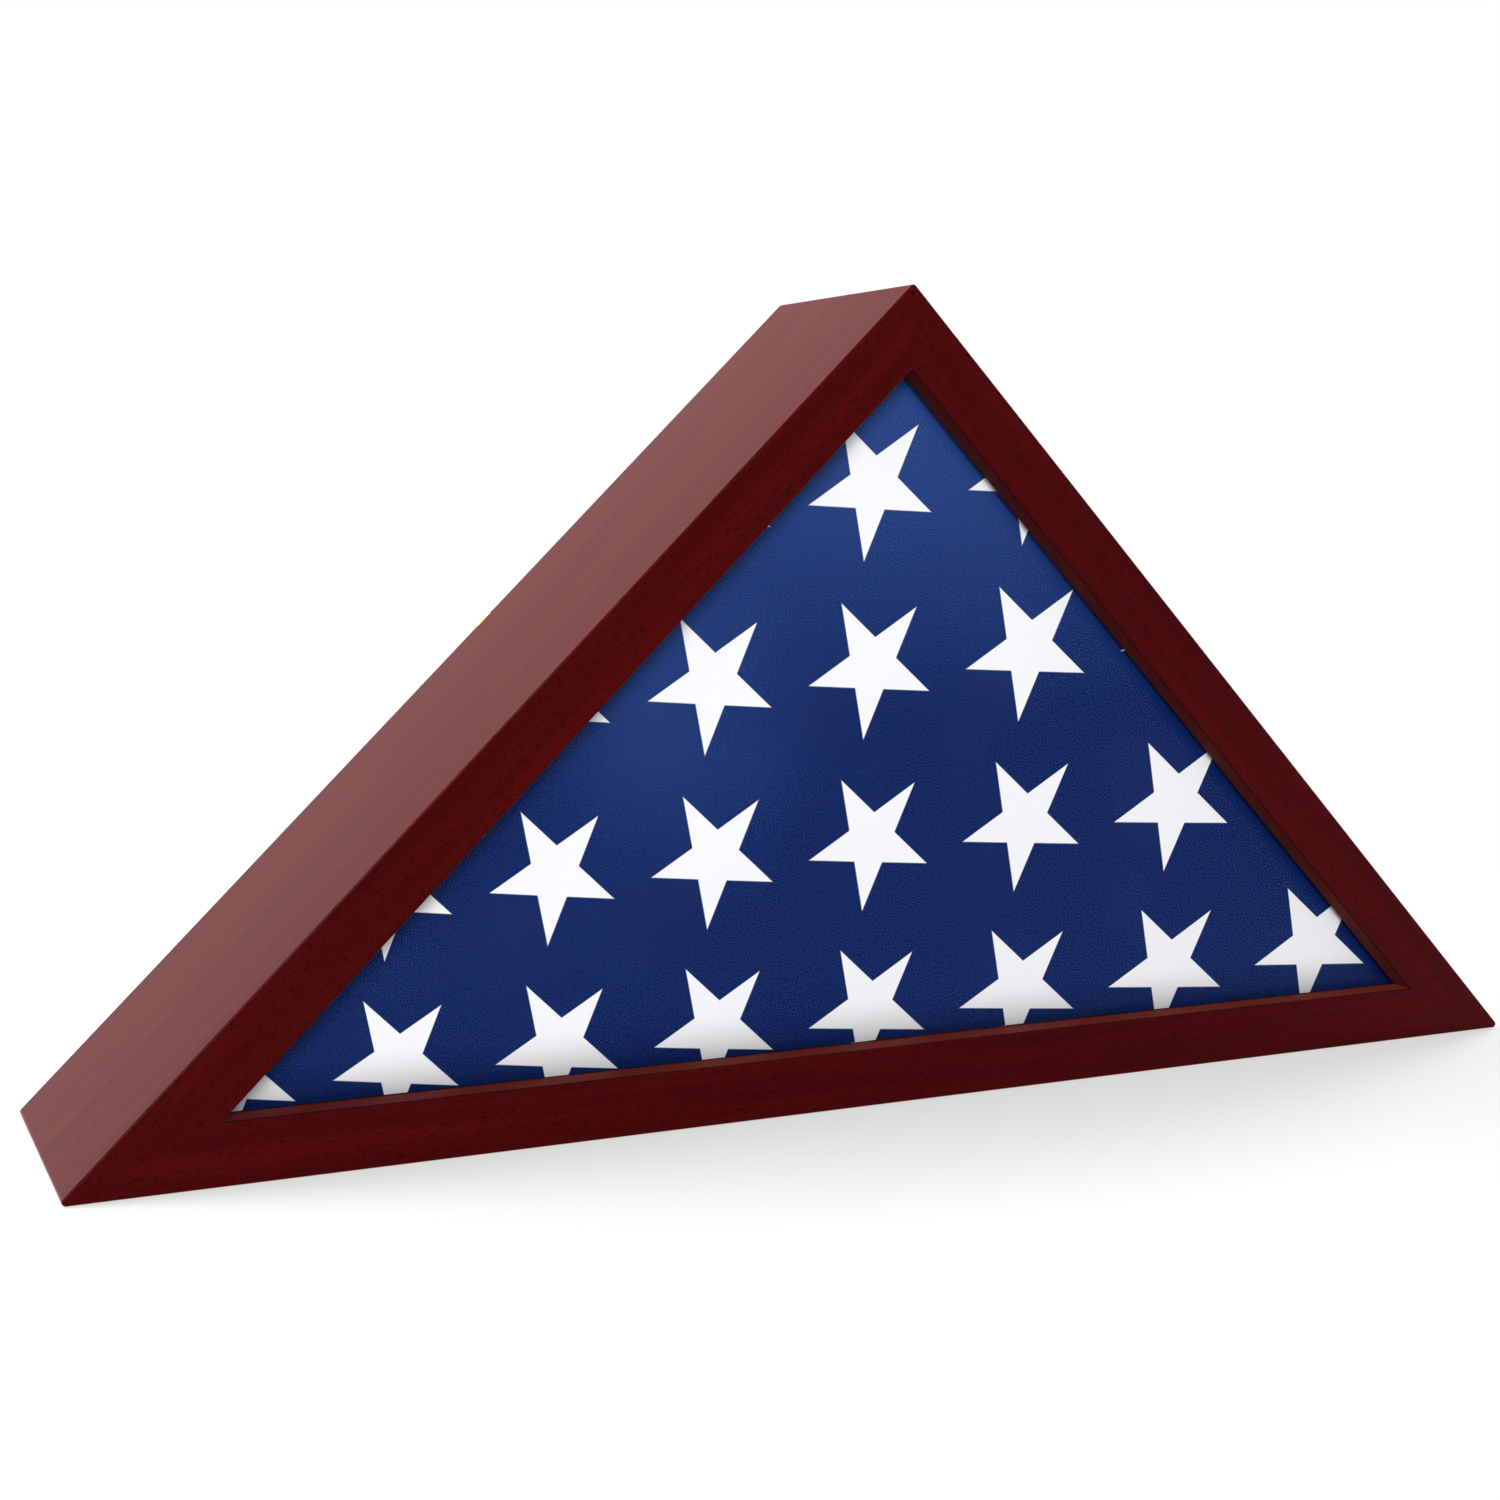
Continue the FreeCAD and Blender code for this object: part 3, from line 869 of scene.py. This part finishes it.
@dataclass
class Studio:
    """Camera, pale floor, lamps and the white surroundings."""

    camera_place: tuple[float, float, float] = (-0.4084, -0.7723, 0.2419)
    camera_aim: tuple[float, float, float] = (-0.0388, 0.0, 0.1362)
    camera_roll: float = 0.892
    lens: float = 51.01
    sensor: float = 36.0
    clip: tuple[float, float] = (0.01, 50.0)
    lamps: tuple[Lamp, ...] = (
        Lamp("key", (-1.1, -2.4, 1.0), 1.3, 66.5),
        Lamp("slope", (-1.4, 0.6, 1.6), 1.2, 47.0),
        Lamp("back", (1.5, 1.1, 1.5), 1.2, 36.0),
    )
    lamp_aim: tuple[float, float, float] = (0.0, 0.0, 0.15)
    sky: str = "#FFFFFF"
    fill: float = 0.27
    floor_white: str = "#E6E6E6"
    floor_bounce: str = "#8C8C8C"
    floor_reach: float = 8.0
    floor_drop: float = 0.2 * MM
    shadow_veil: float = 0.5
    veil_from: float = 0.3
    veil_to: float = 0.75

    def camera(self) -> None:
        """Set the camera at the photograph's viewing angle."""
        data = bpy.data.cameras.new("camera")
        data.lens, data.sensor_width = self.lens, self.sensor
        data.clip_start, data.clip_end = self.clip
        made = bpy.data.objects.new("camera", data)
        aim = Vector(self.camera_aim) - Vector(self.camera_place)
        roll = Quaternion((0.0, 0.0, 1.0), math.radians(self.camera_roll))
        made.location = self.camera_place
        made.rotation_mode = "QUATERNION"
        made.rotation_quaternion = aim.to_track_quat("-Z", "Y") @ roll
        bpy.context.scene.collection.objects.link(made)
        bpy.context.scene.camera = made

    def background_rays(self, tree: bpy.types.NodeTree) -> bpy.types.NodeSocket:
        """Tell rays that see the surroundings directly, or in gloss and glass, from the others.

        Args:
            tree: Node tree to add to.

        Returns:
            Socket that is 1 for those rays and 0 for the others.
        """
        rays = add(tree, "ShaderNodeLightPath").outputs
        gloss_and_glass = {0: rays["Is Glossy Ray"], 1: rays["Is Transmission Ray"]}
        mirrored = add(tree, MATH, gloss_and_glass, operation="MAXIMUM").outputs[0]
        seen = {0: rays["Is Camera Ray"], 1: mirrored}
        return add(tree, MATH, seen, operation="MAXIMUM").outputs[0]

    def floor(self) -> None:
        """Lay a pale floor that keeps the shadow near the case and ends in white."""
        made = bpy.data.materials.new("painted_white_floor")
        tree = new_tree(made)
        place = add(tree, PLACE).outputs["Object"]
        away = add(tree, VECTOR, {0: place}, operation="LENGTH").outputs["Value"]
        fade = add(
            tree,
            RANGE,
            {0: away, 1: self.veil_from, 2: self.veil_to, 3: self.shadow_veil, 4: 1.0},
            interpolation_type="SMOOTHSTEP",
        ).outputs[0]
        seen = self.background_rays(tree)
        share = add(tree, MATH, {0: fade, 1: seen}, operation="MULTIPLY").outputs[0]
        tones = {0: seen, 6: linear(self.floor_bounce), 7: linear(self.floor_white)}
        tone = add(tree, MIX, tones, data_type="RGBA").outputs[2]
        paint = add(tree, "ShaderNodeBsdfDiffuse", {"Color": tone}).outputs[0]
        white = add(tree, "ShaderNodeEmission", {"Strength": 1.0}).outputs[0]
        both = add(tree, "ShaderNodeMixShader", {0: share, 1: paint, 2: white}).outputs[0]
        add(tree, OUTPUT, {"Surface": both})
        mesh = bpy.data.meshes.new("floor")
        reach = self.floor_reach
        mesh.from_pydata(
            [(-reach, -reach, 0), (reach, -reach, 0), (reach, reach, 0), (-reach, reach, 0)],
            [], [(0, 1, 2, 3)],
        )
        mesh.materials.append(made)
        plane = bpy.data.objects.new("floor", mesh)
        plane.location.z = -self.floor_drop
        bpy.context.scene.collection.objects.link(plane)

    def world(self) -> None:
        """Surround the case with white to look at, and an even fill light."""
        made = bpy.data.worlds.new("studio")
        tree = new_tree(made)
        seen = self.background_rays(tree)
        level = add(tree, RANGE, {0: seen, 1: 0.0, 2: 1.0, 3: self.fill, 4: 1.0}).outputs[0]
        white = {"Color": linear(self.sky), "Strength": level}
        sky = add(tree, "ShaderNodeBackground", white).outputs[0]
        add(tree, "ShaderNodeOutputWorld", {"Surface": sky})
        bpy.context.scene.world = made

    def build(self) -> None:
        """Set up the whole studio."""
        self.camera()
        self.floor()
        for lamp in self.lamps:
            lamp.hang(self.lamp_aim)
        self.world()
        bpy.context.scene.view_settings.view_transform = "Standard"
        LOG.info("studio ready")


def main() -> None:
    """Build every piece in order."""
    logging.basicConfig(level=logging.INFO)
    Woodwork().dress()
    Glazing().dress()
    Back().dress()
    FoldedFlag().build()
    Studio().build()
    bpy.context.view_layer.update()


if __name__ == "__main__":
    main()
